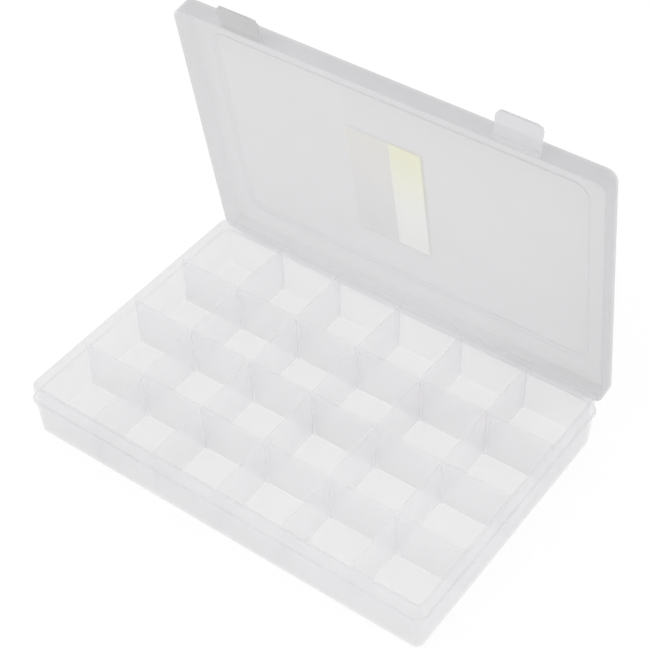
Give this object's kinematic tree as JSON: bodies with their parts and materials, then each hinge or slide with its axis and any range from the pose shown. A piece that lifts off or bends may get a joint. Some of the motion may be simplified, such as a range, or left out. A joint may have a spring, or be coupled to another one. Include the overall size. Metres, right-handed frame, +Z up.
{
  "type": "embroidery thread box",
  "caption": "Shallow frosted storage box with square cells, lift-out dividers, a lid on a living hinge and two snap latches, for embroidery floss.",
  "frame": {"origin": "centre of the flat underside of the tray", "axes": "+X along the hinge, +Y from the latches back to the hinge, +Z up"},
  "size_m": [0.274, 0.1966, 0.2295],
  "materials": {
    "tray_plastic": "frosted translucent, moulded",
    "divider_plastic": "frosted translucent, thin sheet",
    "lid_plastic": "frosted translucent, moulded",
    "latch_plastic": "frosted translucent, thicker moulding",
    "web_plastic": "thin flexible web, worked clear",
    "label_film": "printed paper label, bare"
  },
  "bodies": {
    "tray": {"tray_shell": "tray_plastic", "row_wall_1": "tray_plastic", "row_wall_2": "tray_plastic", "row_wall_3": "tray_plastic", "hinge_web": "web_plastic"},
    "lid": {"lid_shell": "lid_plastic", "lid_label": "label_film", "latch_web_left": "web_plastic", "latch_web_right": "web_plastic"},
    "latch_left": {"latch_left": "latch_plastic"},
    "latch_right": {"latch_right": "latch_plastic"},
    "divider_1_1": {"divider_1_1": "divider_plastic"},
    "divider_1_2": {"divider_1_2": "divider_plastic"},
    "divider_1_3": {"divider_1_3": "divider_plastic"},
    "divider_1_4": {"divider_1_4": "divider_plastic"},
    "divider_1_5": {"divider_1_5": "divider_plastic"},
    "divider_2_1": {"divider_2_1": "divider_plastic"},
    "divider_2_2": {"divider_2_2": "divider_plastic"},
    "divider_2_3": {"divider_2_3": "divider_plastic"},
    "divider_2_4": {"divider_2_4": "divider_plastic"},
    "divider_2_5": {"divider_2_5": "divider_plastic"},
    "divider_3_1": {"divider_3_1": "divider_plastic"},
    "divider_3_2": {"divider_3_2": "divider_plastic"},
    "divider_3_3": {"divider_3_3": "divider_plastic"},
    "divider_3_4": {"divider_3_4": "divider_plastic"},
    "divider_3_5": {"divider_3_5": "divider_plastic"},
    "divider_4_1": {"divider_4_1": "divider_plastic"},
    "divider_4_2": {"divider_4_2": "divider_plastic"},
    "divider_4_3": {"divider_4_3": "divider_plastic"},
    "divider_4_4": {"divider_4_4": "divider_plastic"},
    "divider_4_5": {"divider_4_5": "divider_plastic"}
  },
  "joints": [
    {"name": "lid_hinge", "type": "hinge", "parent": "tray", "child": "lid", "pos_m": [0, 0.0929, 0.0279], "axis": [-1, 0, 0], "range_deg": [-80.4, 99.6], "deforming": ["hinge_web"]},
    {"name": "latch_left_fold", "type": "hinge", "parent": "lid", "child": "latch_left", "pos_m": [-0.086, 0.06191, 0.2111], "axis": [-1, 0, 0], "range_deg": [-80, 70], "deforming": ["latch_web_left"]},
    {"name": "latch_right_fold", "type": "hinge", "parent": "lid", "child": "latch_right", "pos_m": [0.086, 0.06191, 0.2111], "axis": [-1, 0, 0], "range_deg": [-102, 48], "deforming": ["latch_web_right"]},
    {"name": "divider_1_1_lift", "type": "slide", "parent": "tray", "child": "divider_1_1", "axis": [0, 0, 1], "range_m": [0, 0.036]},
    {"name": "divider_1_2_lift", "type": "slide", "parent": "tray", "child": "divider_1_2", "axis": [0, 0, 1], "range_m": [0, 0.036]},
    {"name": "divider_1_3_lift", "type": "slide", "parent": "tray", "child": "divider_1_3", "axis": [0, 0, 1], "range_m": [0, 0.036]},
    {"name": "divider_1_4_lift", "type": "slide", "parent": "tray", "child": "divider_1_4", "axis": [0, 0, 1], "range_m": [0, 0.036]},
    {"name": "divider_1_5_lift", "type": "slide", "parent": "tray", "child": "divider_1_5", "axis": [0, 0, 1], "range_m": [0, 0.036]},
    {"name": "divider_2_1_lift", "type": "slide", "parent": "tray", "child": "divider_2_1", "axis": [0, 0, 1], "range_m": [0, 0.036]},
    {"name": "divider_2_2_lift", "type": "slide", "parent": "tray", "child": "divider_2_2", "axis": [0, 0, 1], "range_m": [0, 0.036]},
    {"name": "divider_2_3_lift", "type": "slide", "parent": "tray", "child": "divider_2_3", "axis": [0, 0, 1], "range_m": [0, 0.036]},
    {"name": "divider_2_4_lift", "type": "slide", "parent": "tray", "child": "divider_2_4", "axis": [0, 0, 1], "range_m": [0, 0.036]},
    {"name": "divider_2_5_lift", "type": "slide", "parent": "tray", "child": "divider_2_5", "axis": [0, 0, 1], "range_m": [0, 0.036]},
    {"name": "divider_3_1_lift", "type": "slide", "parent": "tray", "child": "divider_3_1", "axis": [0, 0, 1], "range_m": [0, 0.036]},
    {"name": "divider_3_2_lift", "type": "slide", "parent": "tray", "child": "divider_3_2", "axis": [0, 0, 1], "range_m": [0, 0.036]},
    {"name": "divider_3_3_lift", "type": "slide", "parent": "tray", "child": "divider_3_3", "axis": [0, 0, 1], "range_m": [0, 0.036]},
    {"name": "divider_3_4_lift", "type": "slide", "parent": "tray", "child": "divider_3_4", "axis": [0, 0, 1], "range_m": [0, 0.036]},
    {"name": "divider_3_5_lift", "type": "slide", "parent": "tray", "child": "divider_3_5", "axis": [0, 0, 1], "range_m": [0, 0.036]},
    {"name": "divider_4_1_lift", "type": "slide", "parent": "tray", "child": "divider_4_1", "axis": [0, 0, 1], "range_m": [0, 0.036]},
    {"name": "divider_4_2_lift", "type": "slide", "parent": "tray", "child": "divider_4_2", "axis": [0, 0, 1], "range_m": [0, 0.036]},
    {"name": "divider_4_3_lift", "type": "slide", "parent": "tray", "child": "divider_4_3", "axis": [0, 0, 1], "range_m": [0, 0.036]},
    {"name": "divider_4_4_lift", "type": "slide", "parent": "tray", "child": "divider_4_4", "axis": [0, 0, 1], "range_m": [0, 0.036]},
    {"name": "divider_4_5_lift", "type": "slide", "parent": "tray", "child": "divider_4_5", "axis": [0, 0, 1], "range_m": [0, 0.036]}
  ]
}
